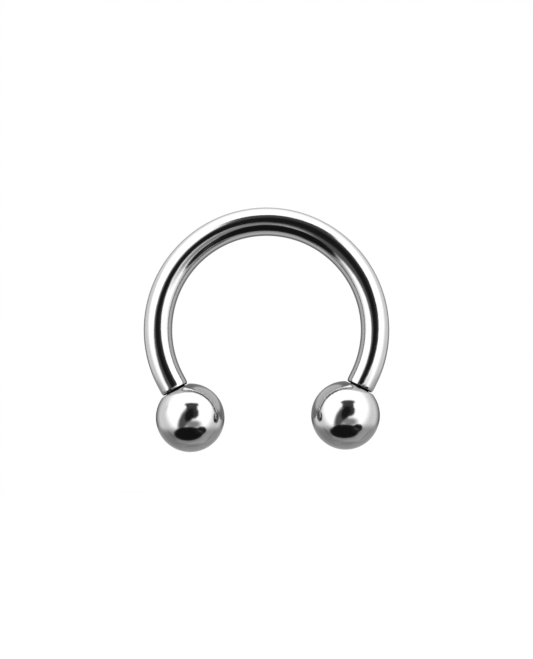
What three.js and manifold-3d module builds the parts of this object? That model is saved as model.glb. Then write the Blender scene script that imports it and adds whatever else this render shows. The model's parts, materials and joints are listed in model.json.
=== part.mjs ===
// A circular barbell, also sold as a horseshoe ring: one bent surgical steel bar with a thread on each
// end, and a steel ball screwed on each thread. Millimetres. The ring stands in the XZ plane, its centre
// is the origin, its arch is up (+Z) and its mouth, between the two balls, is down.
import * as THREE from 'three';
import { mergeVertices } from 'three/addons/utils/BufferGeometryUtils.js';
import Module from 'manifold-3d';

// Driving dimensions
const WIRE_DIAMETER = 1.2; // 16 gauge bar
const INSIDE_DIAMETER = 8; // across the ring, inside the bar
const BALL_DIAMETER = 2.9; // a nominal 3 mm ball after polishing
const ARC_BELOW_DEG = 27.1; // the arc runs on this far below the ring's centre at each side
const STRAIGHT_LENGTH = 0.5; // straight bar between the arc and the ball
const TURNED_DOWN = 0.04; // taken off the bar's radius before its end is threaded M1.2
const THREAD_PITCH = 0.25;
const BALL_FAR_WALL = 0.5; // steel left in the ball beyond the point of its blind bore
const SHOULDER_EDGE_BREAK = 0.015; // radius taken off the bar's end
const SHOULDER_EDGE_LENGTH = 0.06; // and how far up the bar that runs
const MOUTH_LIP = 0.03; // the ball's mouth is this much larger in radius than the bar

// Fits
const THREAD_CLEARANCE = 0.02; // between the thread's crest and the ball's bore, in radius
const SEAT_GAP = 0.02; // between the bar's shoulder and the ball's countersink
const TIP_CLEARANCE = 0.2; // between the stub's tip and the end of the bore's wall

// Fineness of the facets
const BAR_SIDES = 24;
const BAR_STEPS = 60;
const THREAD_STEPS_PER_TURN = 6;
const BALL_SIDES = 36;
const BALL_STEPS = 18;

// Sizes that follow
const WIRE_RADIUS = WIRE_DIAMETER / 2;
const ARC_RADIUS = INSIDE_DIAMETER / 2 + WIRE_RADIUS;
const BALL_RADIUS = BALL_DIAMETER / 2;
const THREAD_RADIUS = WIRE_RADIUS - TURNED_DOWN;
const THREAD_DEPTH = 0.6134 * THREAD_PITCH; // ISO metric external thread, as are its flats, in pitches:
const CREST_FLAT = 1 / 8;
const ROOT_FLAT = 1 / 4;
const BORE_RADIUS = THREAD_RADIUS + THREAD_CLEARANCE;
const DRILL_POINT_DEG = 118;
const BORE_CONE_DEPTH = BORE_RADIUS / Math.tan(THREE.MathUtils.degToRad(DRILL_POINT_DEG / 2));
const MOUTH_RADIUS = WIRE_RADIUS + MOUTH_LIP;
// Heights below are along a ball's own bore axis, from the ball's centre towards the bar
const MOUTH_HEIGHT = Math.sqrt(BALL_RADIUS ** 2 - MOUTH_RADIUS ** 2);
const BORE_TOP = MOUTH_HEIGHT - (MOUTH_RADIUS - BORE_RADIUS); // 45 degree countersink
const SHOULDER_RADIUS = WIRE_RADIUS - SHOULDER_EDGE_BREAK;
const SHOULDER_HEIGHT = BORE_TOP + (SHOULDER_RADIUS - BORE_RADIUS) + SEAT_GAP;
const BORE_END = BALL_FAR_WALL + BORE_CONE_DEPTH - BALL_RADIUS; // where the bore's wall stops
const THREAD_LENGTH = SHOULDER_HEIGHT - BORE_END - TIP_CLEARANCE; // from the shoulder to the stub's tip
const BALL_OFFSET = STRAIGHT_LENGTH + SHOULDER_HEIGHT; // from the arc's end to the ball's centre

const wasm = await Module();
wasm.setup();

const polishedSteel = () =>
  new THREE.MeshStandardMaterial({ color: 0xc9cacb, metalness: 1, roughness: 0.08 });

// A closed three.js geometry as a manifold solid
function toSolid(geometry) {
  const bare = geometry.clone();
  bare.deleteAttribute('normal');
  bare.deleteAttribute('uv');
  const merged = mergeVertices(bare, 1e-5);
  const mesh = new wasm.Mesh({
    numProp: 3,
    vertProperties: new Float32Array(merged.attributes.position.array),
    triVerts: new Uint32Array(merged.index.array),
  });
  return new wasm.Manifold(mesh);
}

// A manifold solid as a three.js geometry
function toGeometry(solid) {
  const { vertProperties, triVerts } = solid.getMesh();
  const geometry = new THREE.BufferGeometry();
  geometry.setAttribute('position', new THREE.BufferAttribute(new Float32Array(vertProperties), 3));
  geometry.setIndex(new THREE.BufferAttribute(new Uint32Array(triVerts), 1));
  geometry.computeVertexNormals();
  return geometry;
}

// The frame at one end of the arc: +Y runs up the straight end into the arc. side is -1 left, +1 right.
function arcEnd(side) {
  const below = THREE.MathUtils.degToRad(ARC_BELOW_DEG);
  const point = new THREE.Vector3(
    side * ARC_RADIUS * Math.cos(below), 0, -ARC_RADIUS * Math.sin(below));
  const upBar = new THREE.Vector3(side * Math.sin(below), 0, Math.cos(below));
  const turn = new THREE.Quaternion().setFromUnitVectors(new THREE.Vector3(0, 1, 0), upBar);
  return { point, upBar, turn };
}

// The bar's centreline from the left shoulder, over the arch, to the right shoulder
class BarCurve extends THREE.Curve {
  getPoint(t, target = new THREE.Vector3()) {
    const below = THREE.MathUtils.degToRad(ARC_BELOW_DEG);
    const arcLength = ARC_RADIUS * (Math.PI + 2 * below);
    const along = t * (arcLength + 2 * STRAIGHT_LENGTH) - STRAIGHT_LENGTH;
    const onArc = THREE.MathUtils.clamp(along, 0, arcLength);
    const angle = Math.PI + below - onArc / ARC_RADIUS;
    const past = along - onArc; // below 0 on the left straight, above 0 on the right one
    return target.set(
      ARC_RADIUS * Math.cos(angle) + past * Math.sin(angle),
      0,
      ARC_RADIUS * Math.sin(angle) - past * Math.cos(angle));
  }
}

function makeBarBody() {
  const section = new THREE.Shape().absarc(0, 0, WIRE_RADIUS, 0, 2 * Math.PI);
  return toSolid(new THREE.ExtrudeGeometry(section, {
    steps: BAR_STEPS, curveSegments: BAR_SIDES / 2, extrudePath: new BarCurve() }));
}

// Thread profile at a place given in turns: 1 on the crest's flat, 0 on the root's flat, straight flanks
function threadHeight(turns) {
  const fromCrest = Math.abs(turns - Math.round(turns)); // 0 on the crest, 0.5 in the root
  const crestEnds = CREST_FLAT / 2;
  const rootStarts = 0.5 - ROOT_FLAT / 2;
  return THREE.MathUtils.clamp((rootStarts - fromCrest) / (rootStarts - crestEnds), 0, 1);
}

// The threaded stub, its shoulder at y = 0 and its tip at y = -THREAD_LENGTH. It starts inside the bar.
function makeThreadedStub() {
  const rooted = THREAD_PITCH; // length of the stub inside the bar
  const length = THREAD_LENGTH + rooted;
  const steps = Math.round((length / THREAD_PITCH) * THREAD_STEPS_PER_TURN);
  const stub = new THREE.CylinderGeometry(THREAD_RADIUS, THREAD_RADIUS, length, BAR_SIDES, steps);
  stub.translate(0, rooted - length / 2, 0);
  const position = stub.attributes.position;
  for (let i = 0; i < position.count; i++) {
    const [x, y, z] = [position.getX(i), position.getY(i), position.getZ(i)];
    if (Math.hypot(x, z) < THREAD_RADIUS / 2) continue; // the centre of an end face
    const angle = Math.atan2(z, x);
    const fade = THREE.MathUtils.clamp(Math.min(-y, y + THREAD_LENGTH) / (THREAD_PITCH / 2), 0, 1);
    const crest = threadHeight(y / THREAD_PITCH + angle / (2 * Math.PI)) * fade; // right-handed
    const radius = THREAD_RADIUS - THREAD_DEPTH * (1 - crest);
    position.setXYZ(i, radius * Math.cos(angle), y, radius * Math.sin(angle));
  }
  return toSolid(stub);
}

// The ring of metal that the edge break takes off the bar's shoulder, which is at y = 0
function makeEdgeBreak() {
  const outside = WIRE_RADIUS + SHOULDER_EDGE_BREAK;
  const beyond = -SHOULDER_EDGE_LENGTH;
  const slope = SHOULDER_EDGE_BREAK / SHOULDER_EDGE_LENGTH;
  return toSolid(new THREE.LatheGeometry([
    new THREE.Vector2(SHOULDER_RADIUS + slope * beyond, beyond),
    new THREE.Vector2(outside, beyond),
    new THREE.Vector2(outside, SHOULDER_EDGE_LENGTH * 2),
    new THREE.Vector2(SHOULDER_RADIUS + slope * beyond, beyond),
  ], BAR_SIDES));
}

function makeCurvedBar() {
  let bar = makeBarBody();
  for (const side of [-1, 1]) {
    const { point, upBar, turn } = arcEnd(side);
    const shoulder = point.clone().addScaledVector(upBar, -STRAIGHT_LENGTH);
    const place = new THREE.Matrix4().compose(shoulder, turn, new THREE.Vector3(1, 1, 1)).toArray();
    bar = bar.subtract(makeEdgeBreak().transform(place)).add(makeThreadedStub().transform(place));
  }
  return new THREE.Mesh(toGeometry(bar), polishedSteel());
}

// A ball about its own centre, its countersunk blind bore opening towards +Y
function makeBall() {
  const profile = [
    new THREE.Vector2(0, BORE_END - BORE_CONE_DEPTH),
    new THREE.Vector2(BORE_RADIUS, BORE_END),
    new THREE.Vector2(BORE_RADIUS, BORE_TOP),
  ];
  const mouthAngle = Math.asin(MOUTH_RADIUS / BALL_RADIUS);
  for (let i = 0; i <= BALL_STEPS; i++) {
    const angle = mouthAngle + (i / BALL_STEPS) * (Math.PI - mouthAngle);
    const radius = i === BALL_STEPS ? 0 : BALL_RADIUS * Math.sin(angle);
    profile.push(new THREE.Vector2(radius, BALL_RADIUS * Math.cos(angle)));
  }
  profile.reverse(); // from the far pole round to the bore, so that the faces point out
  return new THREE.Mesh(new THREE.LatheGeometry(profile, BALL_SIDES), polishedSteel());
}

const ring = new THREE.Group();

const bar = makeCurvedBar();
bar.name = 'curved_bar';
ring.add(bar);

for (const [side, name] of [[-1, 'left_ball'], [1, 'right_ball']]) {
  const { point, turn } = arcEnd(side);
  const end = new THREE.Group();
  end.position.copy(point);
  end.quaternion.copy(turn);
  const ball = makeBall();
  ball.name = name;
  ball.position.y = -BALL_OFFSET;
  end.add(ball);
  ring.add(end);
}

export default ring;
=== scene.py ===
"""A circular barbell: a bent, mirror-polished surgical steel bar with a threaded stub at each end,
and a tapped steel ball screwed on each stub. Lengths here are in millimetres until a mesh is finished.
"""

import json
import math

import bmesh
import bpy
from mathutils import Matrix, Vector


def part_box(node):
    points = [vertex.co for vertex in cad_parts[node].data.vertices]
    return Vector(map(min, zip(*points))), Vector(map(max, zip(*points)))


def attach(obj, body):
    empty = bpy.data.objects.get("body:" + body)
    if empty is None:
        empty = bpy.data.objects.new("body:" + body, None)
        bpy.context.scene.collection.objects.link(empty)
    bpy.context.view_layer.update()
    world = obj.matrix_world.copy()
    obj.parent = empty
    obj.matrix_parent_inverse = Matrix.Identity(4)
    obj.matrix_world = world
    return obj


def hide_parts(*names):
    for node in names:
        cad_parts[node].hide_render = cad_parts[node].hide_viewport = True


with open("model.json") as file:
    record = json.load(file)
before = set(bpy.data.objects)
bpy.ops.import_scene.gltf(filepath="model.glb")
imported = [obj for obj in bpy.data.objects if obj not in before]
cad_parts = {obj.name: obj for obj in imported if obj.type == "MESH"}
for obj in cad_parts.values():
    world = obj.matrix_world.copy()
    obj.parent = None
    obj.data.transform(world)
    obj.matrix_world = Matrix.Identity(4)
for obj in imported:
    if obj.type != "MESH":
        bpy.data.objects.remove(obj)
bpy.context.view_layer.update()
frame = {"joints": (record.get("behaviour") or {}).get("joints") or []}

MM = 0.001

# --- Sizes ------------------------------------------------------------------------------------------

bar_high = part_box("curved_bar")[1] / MM
WIRE_RADIUS = bar_high.y
ARC_RADIUS = bar_high.z - WIRE_RADIUS

BALL_RADIUS = 1.45
MOUTH_RADIUS = WIRE_RADIUS + 0.03  # the ball's countersunk mouth is a little wider than the bar
LIP_ROUND = 0.035  # the polish rounds the mouth's edge
LIP_DEPTH = 0.02
SHOULDER_STANDS_OFF = 0.05  # the bar's shoulder stops short of the mouth: a dark line round the joint

SHOULDER_ROUND = 0.045  # radius lost where the polish rounds the bar's shoulder
SHOULDER_ROUND_LENGTH = 0.15

THREAD_RADIUS = WIRE_RADIUS - 0.04  # the stub is turned down a little before it is threaded
THREAD_PITCH = 0.25
THREAD_DEPTH = 0.6134 * THREAD_PITCH  # a metric thread's depth; in a tapped hole it is a little less
THREAD_LENGTH = 1.68
CREST_END = 0.0625  # where the crest's flat ends, in pitches from its middle
ROOT_START = 0.375  # where the root's flat begins
EASED = 0.35  # how far rolling and wear have eased the thread's corners, from 0 to 1
RUN_OUT = 0.6  # the thread runs out over this many pitches at both ends
TAPPED_RADIUS = THREAD_RADIUS + 0.03
TAPPED_DEPTH = 0.5413 * THREAD_PITCH
TIP_CLEARANCE = 0.2  # from the stub's tip to the bore's end
DRILL_POINT_DEG = 118

STEEL = "#bcbcbc"
CUT_STEEL = "#b0b0b0"
PASTE_AND_PAINTED_SHADE = "#484848"  # dark polishing paste and painted shade, coloured into the groove between the bar's shoulder and the ball
PASTE_AND_SHADE_REACH = 0.12  # how far from the joint the paste and painted shade lie
WAVE_LENGTH = 0.5  # the slow waves that hand buffing leaves
WAVE_HEIGHT = 0.004
NOISE_RANGE = (0.3, 0.7)  # nearly all of a noise's values lie between these
FLOOR_WHITE = "#f4f4f4"
VIEW_GAMMA = 0.6  # shown hard, as jewellery is, with deep greys and clean whites

BAR_SIDES = 96
BALL_SIDES = 128
DISC_SIDES = 96
HALF_ARC_STEPS = 100
STRAIGHT_STEPS = 6
SHOULDER_STEPS = 6
BALL_STEPS = 80
LIP_STEPS = 5
STEPS_PER_PITCH = 16
HAIR = 0.001  # a step too small to see, which keeps two rows of points apart
SAME = HAIR / 10  # closer than this counts as the same place
SHARP = math.radians(40)  # a steeper edge than this stays sharp
CUT, PASTED_AND_SHADED = 1, 2  # the material slots after the polished one; the second is darkened by paste and painted shade


def bar_end(ball, joint_name):
    """The ball's centre, and the direction from there back up the bar."""
    low, high = (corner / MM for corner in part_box(ball))
    joint = next(j for j in frame["joints"] if j["name"] == joint_name)
    return (low + high) / 2, -Vector(joint["axis"]).normalized()


LEFT_END = bar_end("left_ball", "left_ball_unscrew")
RIGHT_END = bar_end("right_ball", "right_ball_unscrew")
MOUTH_HEIGHT = math.sqrt(BALL_RADIUS**2 - MOUTH_RADIUS**2)  # above the ball's centre
SHOULDER_HEIGHT = MOUTH_HEIGHT + SHOULDER_STANDS_OFF

# Places along the straight bar, before it is bent, from its middle.
ball_centre, up_bar = RIGHT_END
arc_end = Vector((up_bar.z, 0, -abs(up_bar.x))) * ARC_RADIUS
ARC_HALF_LENGTH = ARC_RADIUS * (math.pi / 2 + math.asin(abs(up_bar.x)))
SHOULDER_AT = ARC_HALF_LENGTH + (ball_centre - arc_end).length - SHOULDER_HEIGHT
ROUND_AT = SHOULDER_AT - SHOULDER_ROUND_LENGTH
TIP_AT = SHOULDER_AT + THREAD_LENGTH

CAMERA_ROLL = math.radians(0.9)
CAMERA_BELOW = math.radians(3.5)
CAMERA_LENS = 120
CAMERA_SENSOR = 36
CAMERA_CLIPS = (1, 2000)  # nothing nearer or farther is drawn
SEEN_HEIGHT = 27.94  # at the ring
AIM = (0, 0.008)  # the view's middle, right and up of the ring's centre
FLOOR_HEIGHT = -12  # below the lowest that the balls reach when they are off
FLOOR_RADIUS = 400
FLOOR_ROUGHNESS = 0.9
CARD_RADIUS = 3.5
CARD_BEHIND = 0.75  # how far behind the ring's middle plane
CARD_FLARE = 0.45  # its rim runs back at 45 degrees, short of the bar
CARD_PAINTED_SHADOW_RADII = (2.7, 3.3)  # between these radii it goes from its light grey to its dark grey, a painted shadow of the wire on the table
CARD_LIT_AND_SHADOW_GREYS = (165, 98)  # the painted lit table's grey and the painted shadow's, as the steel shows them, from 0 to 255


# --- Shaping helpers --------------------------------------------------------------------------------


def spun(profile, sides):
    """A closed solid of revolution about Z from a profile of (radius, height) points."""
    bm = bmesh.new()
    verts = [bm.verts.new((radius, 0, height)) for radius, height in profile]
    edges = [bm.edges.new(pair) for pair in zip(verts, verts[1:])]
    bmesh.ops.spin(
        bm, geom=verts + edges, cent=(0, 0, 0), axis=(0, 0, 1), dvec=(0, 0, 0),
        angle=2 * math.pi, steps=sides, use_merge=True)
    bmesh.ops.remove_doubles(bm, verts=bm.verts, dist=1e-6)
    bmesh.ops.recalc_face_normals(bm, faces=bm.faces)
    return bm


def steps(start, stop, count):
    """Evenly spaced values after start, as many as count says, the last of them stop."""
    return [start + (stop - start) * (i + 1) / count for i in range(count)]


def quarter_round(from_radius, from_height, to_radius, to_height, count, bulge_first):
    """Profile points on a quarter ellipse between two points, leaving the first along the radius or
    along the height."""
    points = []
    for turn in steps(0, math.pi / 2, count):
        early, late = math.sin(turn), 1 - math.cos(turn)
        radial, axial = (early, late) if bulge_first == "radius" else (late, early)
        points.append((
            from_radius + (to_radius - from_radius) * radial,
            from_height + (to_height - from_height) * axial))
    return points


def thread_ridge(turns):
    """The height of a 60 degree thread at a place given in turns: 1 on its crest, 0 in its root."""
    from_crest = abs(turns - round(turns))
    share = min(max((ROOT_START - from_crest) / (ROOT_START - CREST_END), 0), 1)
    rounded = share * share * (3 - 2 * share)
    return rounded * EASED + share * (1 - EASED)


def thread_fade(run, length):
    """How full a thread is at a place on its length, from 0 at its ends to 1."""
    return min(max(min(run, length - run) / (THREAD_PITCH * RUN_OUT), 0), 1)


def screw_turns(point, shoulder, up_bar):
    """A point's place on a right-hand thread whose axis is the bar's end, in turns."""
    across = Vector((0, 1, 0))
    beyond = up_bar.cross(across)
    offset = point - shoulder
    angle = math.atan2(offset.dot(beyond), offset.dot(across))
    return offset.dot(up_bar) / THREAD_PITCH - angle / (2 * math.pi)


def cut_to(point, origin, axis, radius):
    """A point moved square to the axis through the origin, to stand at the radius from it."""
    offset = point - origin
    axial = axis * offset.dot(axis)
    return origin + axial + (offset - axial).normalized() * radius


def keep_place_on_blank(bm):
    """Keeps where each point lay before bending and turning, so that tool lines follow the making."""
    place = bm.verts.layers.float_vector.new("place_on_blank")
    for vert in bm.verts:
        vert[place] = vert.co


def made_real(name, bm, materials):
    """Turns a bmesh in millimetres into an object in the scene, in metres."""
    bmesh.ops.scale(bm, vec=(MM, MM, MM), verts=bm.verts)
    mesh = bpy.data.meshes.new(name)
    bm.to_mesh(mesh)
    bm.free()
    for material in materials:
        mesh.materials.append(material)
    thing = bpy.data.objects.new(name, mesh)
    bpy.context.scene.collection.objects.link(thing)
    return thing


def finished(name, bm, body, node, materials):
    """Turns a bmesh into a smooth piece that rides on a body and replaces its node."""
    for face in bm.faces:
        face.smooth = True
    for edge in bm.edges:
        if len(edge.link_faces) == 2 and edge.calc_face_angle() > SHARP:
            edge.smooth = False
    piece = made_real(name, bm, materials)
    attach(piece, body)
    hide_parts(node)


# --- Materials --------------------------------------------------------------------------------------


def linear(channel):
    """An sRGB channel from 0 to 1 as linear light."""
    return channel / 12.92 if channel <= 0.04045 else ((channel + 0.055) / 1.055) ** 2.4


def colour(hex_value):
    """An sRGB hex colour as linear red, green, blue and alpha."""
    return (*(linear(int(hex_value[i:i + 2], 16) / 255) for i in (1, 3, 5)), 1)


def add(tree, kind, links=None, values=None, **settings):
    """Adds a node. Its settings are properties, its links and values are for its input sockets."""
    node = tree.nodes.new(kind)
    for name, value in settings.items():
        setattr(node, name, value)
    for socket, value in (values or {}).items():
        node.inputs[socket].default_value = value
    for socket, source in (links or {}).items():
        tree.links.new(source, node.inputs[socket])
    return node


def new_material(name):
    """A material and its node tree, with nothing in it yet."""
    material = bpy.data.materials.new(name)
    material.use_nodes = True
    material.node_tree.nodes.clear()
    return material, material.node_tree


def steel(name, shade):
    """A metal of one shade, before its tool lines: the material, its node tree and its shader."""
    material, tree = new_material(name)
    shader = add(tree, "ShaderNodeBsdfPrincipled", values={
        "Base Color": colour(shade), "Metallic": 1})
    add(tree, "ShaderNodeOutputMaterial", {"Surface": shader.outputs["BSDF"]})
    return material, tree, shader


def tool_lines(tree, shader, stretch, line_width, depth, haze):
    """Fine lines left by a tool that ran along the directions in which stretch is small, over the slow
    waves of hand work. The roughness goes with the lines, between the two values of haze."""
    place = add(tree, "ShaderNodeAttribute", attribute_name="place_on_blank")
    stretched = add(tree, "ShaderNodeMapping", {"Vector": place.outputs["Vector"]},
                    {"Scale": stretch})
    waves = add(tree, "ShaderNodeTexNoise", {"Vector": place.outputs["Vector"]},
                {"Scale": 1 / WAVE_LENGTH, "Detail": 1})
    wavy = add(tree, "ShaderNodeBump", {"Height": waves.outputs["Fac"]},
               {"Strength": 1, "Distance": WAVE_HEIGHT * MM})
    lines = add(tree, "ShaderNodeTexNoise", {"Vector": stretched.outputs["Vector"]},
                {"Scale": 1 / line_width, "Detail": 4, "Roughness": 0.6})
    bump = add(tree, "ShaderNodeBump",
               {"Height": lines.outputs["Fac"], "Normal": wavy.outputs["Normal"]},
               {"Strength": 1, "Distance": depth * MM})
    rough = add(tree, "ShaderNodeMapRange", {"Value": lines.outputs["Fac"]}, {
        "From Min": NOISE_RANGE[0], "From Max": NOISE_RANGE[1],
        "To Min": haze[0], "To Max": haze[1]})
    tree.links.new(rough.outputs["Result"], shader.inputs["Roughness"])
    tree.links.new(bump.outputs["Normal"], shader.inputs["Normal"])


def drawn_and_buffed_steel():
    """316L surgical steel wire, drawn, bent and buffed along its length: a bright mirror with faint
    lines that run along the bar and draw the reflections out a little across it. Real buffing lines are
    about 0.005 mm wide; they are drawn 0.07 mm wide, so that they show."""
    material, tree, shader = steel("surgical_steel_drawn_and_buffed", STEEL)
    tool_lines(tree, shader, stretch=(1, 1, 0.06), line_width=0.07, depth=0.0012, haze=(0.09, 0.17))
    return material


def turned_and_tumbled_steel():
    """316L surgical steel ball, turned, tapped, buffed and tumbled: a mirror with a slight haze and
    faint circles round the bore's axis. Real circles are about 0.005 mm wide; they are drawn 0.09 mm
    wide, so that they show."""
    material, tree, shader = steel("surgical_steel_turned_and_tumbled", STEEL)
    tool_lines(tree, shader, stretch=(0.15, 0.15, 1), line_width=0.09, depth=0.0008, haze=(0.09, 0.16))
    return material


def machined_steel():
    """316L surgical steel as the threading tool leaves it, in the threads and the bores: a soft grey
    shine, with marks of the tool's feed of about 0.03 mm a turn, drawn at that."""
    material, tree, shader = steel("surgical_steel_machined", CUT_STEEL)
    tool_lines(tree, shader, stretch=(0.1, 0.1, 1), line_width=0.03, depth=0.002, haze=(0.26, 0.4))
    return material


def steel_darkened_by_paste_and_painted_shade():
    """316L surgical steel, turned, with dried polishing paste in its tool marks, where the buffing wheel
    doesn't reach, and coloured darker still as painted shade for the deep groove: a dull dark line
    round the joint. The marks are 0.03 mm apart, drawn at that."""
    material, tree, shader = steel("surgical_steel_darkened_by_paste_and_painted_shade", PASTE_AND_PAINTED_SHADE)
    tool_lines(tree, shader, stretch=(0.1, 0.1, 1), line_width=0.03, depth=0.002, haze=(0.42, 0.6))
    return material


# --- Pieces -----------------------------------------------------------------------------------------


def bent(point):
    """Where a point of the straight bar lies once the bar is bent. The bar's length is Z, its middle is
    the arch's crown, and the side that X points to becomes the ring's outside."""
    on_arc = min(max(point.z, -ARC_HALF_LENGTH), ARC_HALF_LENGTH)
    angle = on_arc / ARC_RADIUS
    outward = Vector((math.sin(angle), 0, math.cos(angle)))
    along = Vector((math.cos(angle), 0, -math.sin(angle)))
    return outward * (ARC_RADIUS + point.x) + along * (point.z - on_arc) + Vector((0, point.y, 0))


def half_bar_profile():
    """The straight bar's outline from its middle to its right tip, as (radius, distance) points."""
    root = THREAD_RADIUS - THREAD_DEPTH
    profile = [(WIRE_RADIUS, at) for at in steps(0, ARC_HALF_LENGTH, HALF_ARC_STEPS)]
    profile += [(WIRE_RADIUS, at) for at in steps(ARC_HALF_LENGTH, ROUND_AT, STRAIGHT_STEPS)]
    profile += quarter_round(
        WIRE_RADIUS, ROUND_AT, WIRE_RADIUS - SHOULDER_ROUND, SHOULDER_AT, SHOULDER_STEPS, "height")
    profile += [(root, SHOULDER_AT + HAIR)]
    thread_steps = round(THREAD_LENGTH / THREAD_PITCH * STEPS_PER_PITCH)
    profile += [(THREAD_RADIUS, at) for at in steps(SHOULDER_AT + HAIR, TIP_AT, thread_steps)]
    return profile + [(0, TIP_AT)]


def cut_threads(stubs):
    """Moves the stubs' surface in to the thread's form, fading out at the shoulder and the tip."""
    for vert, distance in stubs:
        centre, up_bar = RIGHT_END if distance > 0 else LEFT_END
        shoulder = centre + up_bar * SHOULDER_HEIGHT
        fade = thread_fade(abs(distance) - SHOULDER_AT, THREAD_LENGTH)
        ridge = thread_ridge(screw_turns(vert.co, shoulder, up_bar)) * fade
        vert.co = cut_to(vert.co, shoulder, up_bar, THREAD_RADIUS - THREAD_DEPTH * (1 - ridge))


def make_curved_bar(cut_steels):
    """Turned straight, then bent, as the real one is, with its threads cut on the straight ends."""
    half = half_bar_profile()
    profile = [(radius, -at) for radius, at in reversed(half)] + [(WIRE_RADIUS, 0)] + half
    bm = spun(profile, BAR_SIDES)
    keep_place_on_blank(bm)
    past_shoulder = SHOULDER_AT + 2 * HAIR
    stubs = [(vert, vert.co.z) for vert in bm.verts
             if abs(vert.co.z) > past_shoulder and vert.co.xy.length > THREAD_RADIUS / 2]
    for face in bm.faces:
        runs = [abs(vert.co.z) - SHOULDER_AT for vert in face.verts]
        if min(runs) > -HAIR:
            # faces next to the shoulder get the dark paste and painted shade
            face.material_index = PASTED_AND_SHADED if max(runs) < PASTE_AND_SHADE_REACH else CUT
    for vert in bm.verts:
        vert.co = bent(vert.co)
    cut_threads(stubs)
    finished("polished_curved_bar", bm, "bar", "curved_bar",
             (drawn_and_buffed_steel(), *cut_steels))


def ball_profile():
    """The ball's outline about its own centre, mouth up: far pole, sphere, mouth, bore, drill point.
    Also the heights of the bore's two ends."""
    lip_radius = MOUTH_RADIUS + LIP_ROUND
    lip_angle = math.asin(lip_radius / BALL_RADIUS)
    points = [(0, -BALL_RADIUS)]
    for angle in steps(math.pi, lip_angle, BALL_STEPS):
        points.append((BALL_RADIUS * math.sin(angle), BALL_RADIUS * math.cos(angle)))
    lip_height = BALL_RADIUS * math.cos(lip_angle)
    lip_end = lip_height - LIP_DEPTH
    points += quarter_round(lip_radius, lip_height, MOUTH_RADIUS, lip_end, LIP_STEPS, "radius")
    bore_top = lip_end - (MOUTH_RADIUS - TAPPED_RADIUS)  # a 45 degree countersink
    bore_end = SHOULDER_HEIGHT - THREAD_LENGTH - TIP_CLEARANCE
    bore_steps = round((bore_top - bore_end) / THREAD_PITCH * STEPS_PER_PITCH)
    points += [(TAPPED_RADIUS, bore_top)]
    points += [(TAPPED_RADIUS, at) for at in steps(bore_top, bore_end, bore_steps)]
    cone = TAPPED_RADIUS / math.tan(math.radians(DRILL_POINT_DEG / 2))
    return points + [(0, bore_end - cone)], bore_top, bore_end


def make_ball(name, end, body, node, materials):
    """A ball set on the bar's end, with its thread tapped in step with the bar's."""
    centre, up_bar = end
    profile, bore_top, bore_end = ball_profile()
    bm = spun(profile, BALL_SIDES)
    keep_place_on_blank(bm)
    tapped = [(vert, vert.co.z) for vert in bm.verts
              if abs(vert.co.xy.length - TAPPED_RADIUS) < SAME
              and bore_end - SAME < vert.co.z < bore_top - SAME]
    for face in bm.faces:
        if all(vert.co.length < BALL_RADIUS - LIP_DEPTH for vert in face.verts):  # inside the lip
            # near the mouth the bore gets the dark paste and painted shade
            near_mouth = all(vert.co.z > bore_top - PASTE_AND_SHADE_REACH for vert in face.verts)
            face.material_index = PASTED_AND_SHADED if near_mouth else CUT
    turn = Vector((0, 0, 1)).rotation_difference(up_bar).to_matrix().to_4x4()
    bmesh.ops.transform(bm, matrix=Matrix.Translation(centre) @ turn, verts=bm.verts)
    shoulder = centre + up_bar * SHOULDER_HEIGHT
    for vert, height in tapped:
        fade = thread_fade(bore_top - height, bore_top - bore_end)
        turns = screw_turns(vert.co, shoulder, up_bar) + 0.5  # its crests lie in the bar's roots
        ridge = thread_ridge(turns) * fade
        vert.co = cut_to(vert.co, centre, up_bar, TAPPED_RADIUS - TAPPED_DEPTH * ridge)
    finished(name, bm, body, node, materials)


# --- Studio -----------------------------------------------------------------------------------------


def soft_shape(tree, mirror, centre, half, lean, edge, square):
    """A mask on the tent's mirror plane, 1 inside an ellipse or a rectangle and 0 outside it. A lean
    turns its top to the right, and a negative edge turns the mask inside out."""
    local = add(tree, "ShaderNodeMapping", {"Vector": mirror}, {
        "Location": (centre[0], 0, centre[1]), "Scale": (half[0], 1, half[1]),
        "Rotation": (0, math.radians(lean), 0)}, vector_type="TEXTURE")
    if square:
        size = add(tree, "ShaderNodeVectorMath", {0: local.outputs["Vector"]}, operation="ABSOLUTE")
        parts = add(tree, "ShaderNodeSeparateXYZ", {0: size.outputs["Vector"]})
        distance = add(tree, "ShaderNodeMath", {0: parts.outputs["X"], 1: parts.outputs["Z"]},
                       operation="MAXIMUM")
    else:
        flat = add(tree, "ShaderNodeVectorMath", {0: local.outputs["Vector"]}, {1: (1, 0, 1)},
                   operation="MULTIPLY")
        distance = add(tree, "ShaderNodeVectorMath", {0: flat.outputs["Vector"]}, operation="LENGTH")
    mask = add(tree, "ShaderNodeMapRange", {"Value": distance.outputs["Value"]},
               {"From Min": 1 + edge, "From Max": 1 - edge}, interpolation_type="SMOOTHSTEP")
    return mask.outputs["Result"]


def light_shown_as(grey):
    """The light level that a polished steel face shows as a grey from 0 to 255."""
    return linear((grey / 255) ** VIEW_GAMMA) / colour(STEEL)[0]


TENT_GREY = 262  # the tent's near walls, brighter than the view's white
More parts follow.
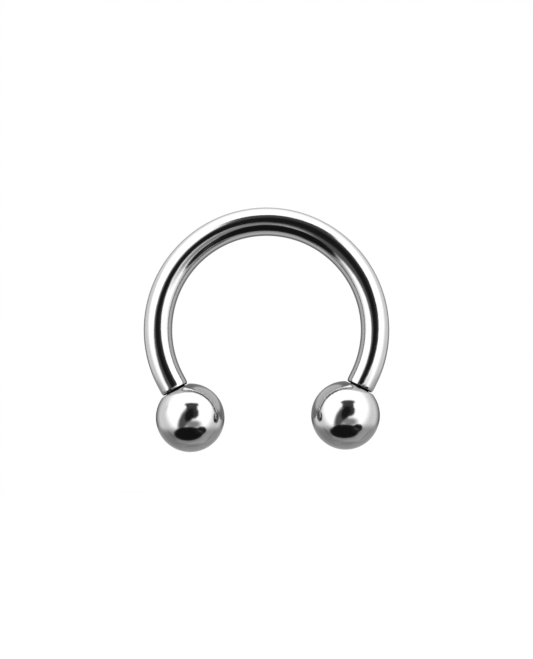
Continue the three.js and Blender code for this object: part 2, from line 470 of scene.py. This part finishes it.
# What else is in and round the tent, the last on top: its grey as the steel shows it, centre, half
# size, lean in degrees, soft edge as a share of its size, and whether it is square.
TENT_SHAPES = (
    (200, (0, 0.2), (0.68, 0.68), 0, -0.15, False),  # the tent's far walls
    (108, (0, 0.04), (0.92, 0.92), 0, -0.08, False),  # the room behind the ring
    (66, (0, 0.04), (0.965, 0.965), 0, -0.03, False),  # its far end
    (130, (0, -1.34), (2, 1), 0, 0.13, True),  # the table, all that lies low
    (116, (-0.55, -0.62), (0.3, 0.1), 42, 0.8, False),  # shade on the table's left
    (148, (0.45, -0.6), (0.28, 0.11), -42, 0.8, False),  # light on the table's right
    (112, (-0.2, -0.75), (0.34, 0.018), 12, 0.9, False),  # creases in the cloth on the table
    (152, (0.16, -0.71), (0.26, 0.018), -8, 0.9, False),
    (114, (0.12, -0.8), (0.3, 0.018), -6, 0.9, False),
    (121, (0.58, -0.56), (0.2, 0.018), -45, 0.9, False),
    (104, (-0.52, -0.5), (0.17, 0.03), 50, 0.7, False),  # the tent's seam on the left
    (176, (-0.68, 0.3), (0.014, 0.12), 20, 0.8, False),  # a fold in it higher up
    (125, (0.1, -0.17), (0.21, 0.11), 0, 0.5, False),  # the table's near edge, lit through the gap
    (74, (-0.16, -0.03), (0.13, 0.35), 24, 0.35, False),  # a sleeve beside the camera
    (60, (0.06, 0.33), (0.16, 0.1), 0, 0.15, True),  # the camera's hood
    (56, (0.06, 0.395), (0.2, 0.055), 0, 0.2, False),  # the hood's rim
    (46, (0.12, 0.15), (0.135, 0.16), 0, 0.2, False),  # the camera's body
    (22, (-0.01, 0.09), (0.12, 0.2), 20, 0.3, False),  # the lens
    (18, (-0.05, -0.445), (0.41, 0.2), 0, 0.1, False),  # the dark room under the tent's front
    (24, (0.31, -0.365), (0.16, 0.115), -15, 0.13, False),  # its deeper right end
    (66, (0.3, -0.385), (0.08, 0.025), 25, 0.6, False),  # a glint in it
)


def light_tent():
    """A white tent round the ring, open at its front below, with a dark camera in front. Directions are
    laid out as a chrome ball at the origin would show them to the camera."""
    world = bpy.data.worlds.new("light_tent")
    bpy.context.scene.world = world
    world.use_nodes = True
    tree = world.node_tree
    tree.nodes.clear()
    direction = add(tree, "ShaderNodeTexCoord").outputs["Generated"]
    levelled = add(tree, "ShaderNodeMapping", {"Vector": direction},
                   {"Rotation": (-CAMERA_BELOW, 0, 0)}, vector_type="VECTOR")
    half_way = add(tree, "ShaderNodeVectorMath", {0: levelled.outputs["Vector"]}, {1: (0, -1, 0)},
                   operation="ADD")
    mirror = add(tree, "ShaderNodeVectorMath", {0: half_way.outputs["Vector"]},
                 operation="NORMALIZE").outputs["Vector"]
    level = None
    for grey, *shape in TENT_SHAPES:
        below = {"A": level} if level else {}
        mask = soft_shape(tree, mirror, *shape)
        level = add(tree, "ShaderNodeMix", {"Factor": mask, **below},
                    {"A": light_shown_as(TENT_GREY), "B": light_shown_as(grey)},
                    data_type="FLOAT").outputs["Result"]
    seen = add(tree, "ShaderNodeLightPath").outputs["Is Camera Ray"]
    around = add(tree, "ShaderNodeBackground", {"Color": level})
    plain = add(tree, "ShaderNodeBackground", values={"Color": (1, 1, 1, 1), "Strength": 1})
    both = add(tree, "ShaderNodeMixShader", {0: seen, 1: around.outputs[0], 2: plain.outputs[0]})
    add(tree, "ShaderNodeOutputWorld", {"Surface": both.outputs[0]})


def staged(name, bm, material):
    """Turns a bmesh into an object in the scene, with its one material."""
    thing = made_real(name, bm, (material,))
    return thing


def make_floor():
    """A plain pale floor of board painted matt white, even and without shine. The steel mirrors the
    tent alone, so the floor isn't in its reflections."""
    material, tree = new_material("painted_board_matt_white")
    shader = add(tree, "ShaderNodeBsdfPrincipled", values={
        "Base Color": colour(FLOOR_WHITE), "Roughness": FLOOR_ROUGHNESS})
    add(tree, "ShaderNodeOutputMaterial", {"Surface": shader.outputs["BSDF"]})
    bm = bmesh.new()
    bmesh.ops.create_circle(
        bm, cap_ends=True, cap_tris=True, segments=DISC_SIDES, radius=FLOOR_RADIUS)
    bmesh.ops.translate(bm, vec=(0, 0, FLOOR_HEIGHT), verts=bm.verts)
    floor = staged("floor", bm, material)
    floor.visible_glossy = False


def make_table_card():
    """A smooth card behind the ring's opening that glows grey: painted light of a table as if the ring
    lay on it, darkening towards its rim with a painted shadow of the wire. It greys the edges of what
    faces into the opening. Only reflections show it, and from behind it is clear."""
    material, tree = new_material("glowing_card_with_painted_light_and_shadow")
    place = add(tree, "ShaderNodeTexCoord").outputs["Object"]
    out = add(tree, "ShaderNodeVectorMath", {0: place}, operation="LENGTH").outputs["Value"]
    # the painted shadow of the wire: the card darkens towards its rim
    shade = add(tree, "ShaderNodeMapRange", {"Value": out}, {
        "From Min": CARD_PAINTED_SHADOW_RADII[0] * MM, "From Max": CARD_PAINTED_SHADOW_RADII[1] * MM},
        interpolation_type="SMOOTHSTEP").outputs["Result"]
    level = add(tree, "ShaderNodeMix", {"Factor": shade},
                {"A": light_shown_as(CARD_LIT_AND_SHADOW_GREYS[0]), "B": light_shown_as(CARD_LIT_AND_SHADOW_GREYS[1])},
                data_type="FLOAT").outputs["Result"]
    # the card glows with the painted light of a lit table
    glow = add(tree, "ShaderNodeEmission", {"Color": level})
    clear = add(tree, "ShaderNodeBsdfTransparent")
    behind = add(tree, "ShaderNodeNewGeometry").outputs["Backfacing"]
    both = add(tree, "ShaderNodeMixShader", {0: behind, 1: glow.outputs[0], 2: clear.outputs[0]})
    add(tree, "ShaderNodeOutputMaterial", {"Surface": both.outputs[0]})
    bm = bmesh.new()
    bmesh.ops.create_circle(
        bm, cap_ends=True, cap_tris=True, segments=DISC_SIDES, radius=CARD_RADIUS)
    rim = [edge for edge in bm.edges if edge.is_boundary]
    flare = bmesh.ops.extrude_edge_only(bm, edges=rim)["geom"]
    flared = [vert for vert in flare if isinstance(vert, bmesh.types.BMVert)]
    wider = (CARD_RADIUS + CARD_FLARE) / CARD_RADIUS
    bmesh.ops.scale(bm, vec=(wider, wider, 1), verts=flared)
    bmesh.ops.translate(bm, vec=(0, 0, -CARD_FLARE), verts=flared)
    bmesh.ops.rotate(bm, matrix=Matrix.Rotation(math.pi / 2, 3, "X"), verts=bm.verts)
    bmesh.ops.translate(bm, vec=(0, CARD_BEHIND, 0), verts=bm.verts)
    bmesh.ops.recalc_face_normals(bm, faces=bm.faces)
    facing_back = [face for face in bm.faces if face.normal.y > 0]
    bmesh.ops.reverse_faces(bm, faces=facing_back)
    card = staged("table_card", bm, material)
    card.visible_camera = False
    card.visible_diffuse = False
    card.visible_shadow = False


def make_camera():
    """A long lens in front of the ring, a little below it and turned a touch."""
    camera = bpy.data.cameras.new("camera")
    camera.lens = CAMERA_LENS
    camera.sensor_width = CAMERA_SENSOR
    camera.clip_start = CAMERA_CLIPS[0] * MM
    camera.clip_end = CAMERA_CLIPS[1] * MM
    holder = bpy.data.objects.new("camera", camera)
    bpy.context.scene.collection.objects.link(holder)
    tilt = Matrix.Rotation(math.pi / 2 + CAMERA_BELOW, 4, "X")
    roll = Matrix.Rotation(-CAMERA_ROLL, 4, "Z")
    distance = SEEN_HEIGHT * CAMERA_LENS / CAMERA_SENSOR
    holder.matrix_world = tilt @ roll @ Matrix.Translation(Vector((*AIM, distance)) * MM)
    bpy.context.scene.camera = holder


# the second darkens the joint's groove with paste and painted shade
cut_steels = (machined_steel(), steel_darkened_by_paste_and_painted_shade())
ball_steels = (turned_and_tumbled_steel(), *cut_steels)
make_curved_bar(cut_steels)
make_ball("polished_left_ball", LEFT_END, "left_ball", "left_ball", ball_steels)
make_ball("polished_right_ball", RIGHT_END, "right_ball", "right_ball", ball_steels)
light_tent()
make_floor()
make_table_card()
make_camera()
bpy.context.scene.view_settings.view_transform = "Standard"
bpy.context.scene.view_settings.gamma = VIEW_GAMMA
